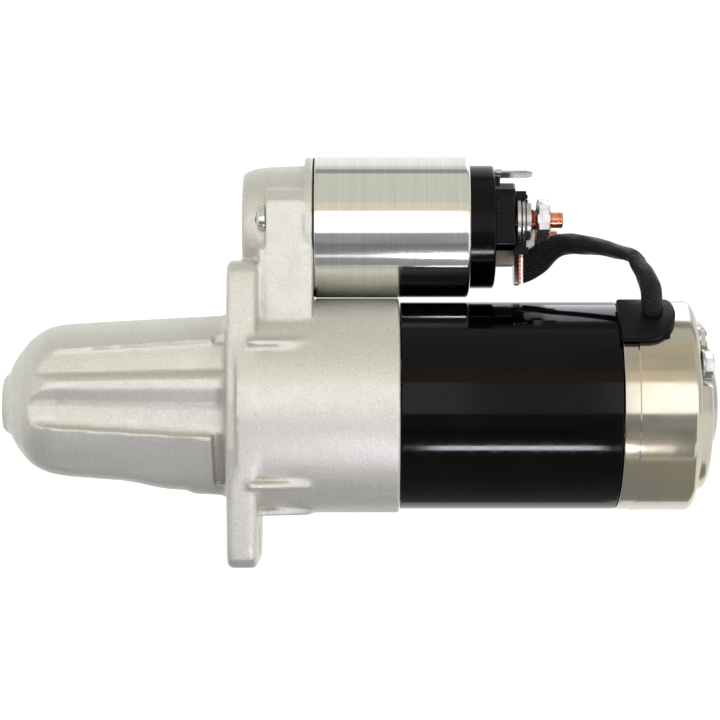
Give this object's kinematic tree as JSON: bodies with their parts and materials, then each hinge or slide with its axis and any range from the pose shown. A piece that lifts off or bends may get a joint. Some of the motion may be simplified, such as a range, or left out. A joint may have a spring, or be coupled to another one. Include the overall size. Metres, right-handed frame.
{
  "type": "starter motor",
  "caption": "Engine starter motor: cast drive housing with pinion in a closed nose, planetary reduction, black motor yoke, and a solenoid on top that swings a shift lever.",
  "frame": {"origin": "on the motor axis, in the plane of the flange's mounting face on its nose side", "axes": "+X along the motor axis from the nose towards the rear cover, +Z from the motor axis up to the solenoid axis, +Y to the side with the ring gear window"},
  "size_m": [0.2544, 0.077, 0.1466],
  "materials": {
    "cast_aluminium": "as cast, fine grain",
    "black_paint": "gloss",
    "zinc_plate": "bright zinc plate",
    "steel": "machined",
    "dark_steel": "oiled",
    "copper": "bare copper",
    "bronze": "satin",
    "ferrite": "sintered",
    "black_plastic": "moulded",
    "nylon": "moulded",
    "carbon": "pressed carbon and copper",
    "rubber": "moulded",
    "braid": "woven sleeve"
  },
  "bodies": {
    "housing": {"drive_end_housing": "cast_aluminium", "nose_bush": "bronze", "lever_pin": "steel", "centre_bearing_plate": "dark_steel", "centre_bush": "bronze", "ring_gear": "nylon", "gearbox_plate": "dark_steel", "field_magnets": "ferrite", "yoke": "black_paint", "brush_plate": "bronze", "rear_cover": "zinc_plate", "grommet": "rubber", "motor_lead": "braid", "lead_terminal": "copper", "rear_bearing": "steel", "through_bolt_1": "zinc_plate", "through_bolt_2": "zinc_plate", "brush_screw_1": "zinc_plate", "brush_screw_2": "zinc_plate", "brush_spring_1": "steel", "brush_spring_2": "steel", "brush_spring_3": "steel", "brush_spring_4": "steel", "solenoid_case": "zinc_plate", "solenoid_gasket": "rubber", "solenoid_screw_1": "zinc_plate", "solenoid_screw_2": "zinc_plate", "coil_bobbin": "nylon", "solenoid_coil": "copper", "fixed_core": "steel", "return_spring": "steel", "contact_spring": "steel", "terminal_cap": "black_plastic", "battery_stud": "copper", "battery_washers": "zinc_plate", "battery_nut": "zinc_plate", "motor_stud": "copper", "motor_nut": "zinc_plate", "spade_terminal": "bronze"},
    "armature": {"armature_shaft": "steel", "armature_core": "dark_steel", "armature_windings": "copper", "commutator": "copper"},
    "output": {"output_shaft": "steel", "stop_collar": "steel"},
    "planet_1": {"planet_gear_1": "steel"},
    "planet_2": {"planet_gear_2": "steel"},
    "planet_3": {"planet_gear_3": "steel"},
    "drive": {"clutch_outer": "dark_steel", "clutch_roller_cage": "steel", "drive_sleeve": "steel"},
    "pinion": {"pinion_gear": "steel"},
    "lever": {"shift_lever": "nylon"},
    "plunger": {"plunger": "steel"},
    "contact": {"contact_rod": "steel", "contact_disc": "copper"},
    "brush_1": {"brush_1": "carbon"},
    "brush_2": {"brush_2": "carbon"},
    "brush_3": {"brush_3": "carbon"},
    "brush_4": {"brush_4": "carbon"}
  },
  "joints": [
    {"name": "armature_spin", "type": "hinge", "parent": "housing", "child": "armature", "pos_m": [0.1, 0, 0], "axis": [1, 0, 0], "continuous": true},
    {"name": "output_spin", "type": "hinge", "parent": "housing", "child": "output", "pos_m": [0, 0, 0], "axis": [1, 0, 0], "continuous": true},
    {"name": "planet_1_spin", "type": "hinge", "parent": "output", "child": "planet_1", "pos_m": [0.048, 0, 0.015], "axis": [1, 0, 0], "continuous": true},
    {"name": "planet_2_spin", "type": "hinge", "parent": "output", "child": "planet_2", "pos_m": [0.048, -0.01299, -0.0075], "axis": [1, 0, 0], "continuous": true},
    {"name": "planet_3_spin", "type": "hinge", "parent": "output", "child": "planet_3", "pos_m": [0.048, 0.01299, -0.0075], "axis": [1, 0, 0], "continuous": true},
    {"name": "drive_slide", "type": "slide", "parent": "output", "child": "drive", "axis": [-1, 0, 0], "range_m": [0, 0.014]},
    {"name": "pinion_freewheel", "type": "hinge", "parent": "drive", "child": "pinion", "pos_m": [-0.028, 0, 0], "axis": [1, 0, 0], "continuous": true},
    {"name": "lever_swing", "type": "hinge", "parent": "housing", "child": "lever", "pos_m": [0.017, 0, 0.042], "axis": [0, 1, 0], "range_deg": [0, 19.2]},
    {"name": "plunger_slide", "type": "slide", "parent": "housing", "child": "plunger", "axis": [1, 0, 0], "range_m": [0, 0.0075], "stiffness_N_per_m": 900, "springref_m": -0.012, "deforming": ["return_spring"]},
    {"name": "contact_slide", "type": "slide", "parent": "housing", "child": "contact", "axis": [1, 0, 0], "range_m": [0, 0.0025], "stiffness_N_per_m": 700, "springref_m": -0.004, "deforming": ["contact_spring"]},
    {"name": "brush_1_slide", "type": "slide", "parent": "housing", "child": "brush_1", "axis": [0, 0.9593, 0.2823], "range_m": [0, 0.003], "stiffness_N_per_m": 500, "springref_m": -0.012, "deforming": ["brush_spring_1"]},
    {"name": "brush_2_slide", "type": "slide", "parent": "housing", "child": "brush_2", "axis": [0, -0.2823, 0.9593], "range_m": [0, 0.003], "stiffness_N_per_m": 500, "springref_m": -0.012, "deforming": ["brush_spring_2"]},
    {"name": "brush_3_slide", "type": "slide", "parent": "housing", "child": "brush_3", "axis": [0, -0.9593, -0.2823], "range_m": [0, 0.003], "stiffness_N_per_m": 500, "springref_m": -0.012, "deforming": ["brush_spring_3"]},
    {"name": "brush_4_slide", "type": "slide", "parent": "housing", "child": "brush_4", "axis": [0, 0.2823, -0.9593], "range_m": [0, 0.003], "stiffness_N_per_m": 500, "springref_m": -0.012, "deforming": ["brush_spring_4"]}
  ],
  "couplings": [
    {"joint": "output_spin", "follows": "armature_spin", "ratio": 0.21667},
    {"joint": "planet_1_spin", "follows": "armature_spin", "ratio": -0.59902},
    {"joint": "planet_2_spin", "follows": "armature_spin", "ratio": -0.59902},
    {"joint": "planet_3_spin", "follows": "armature_spin", "ratio": -0.59902},
    {"joint": "lever_swing", "follows": "drive_slide", "rad_per_m": 23.81},
    {"joint": "plunger_slide", "follows": "drive_slide", "ratio": 0.52619},
    {"joint": "contact_slide", "follows": "drive_slide", "ratio": 0.17143}
  ]
}
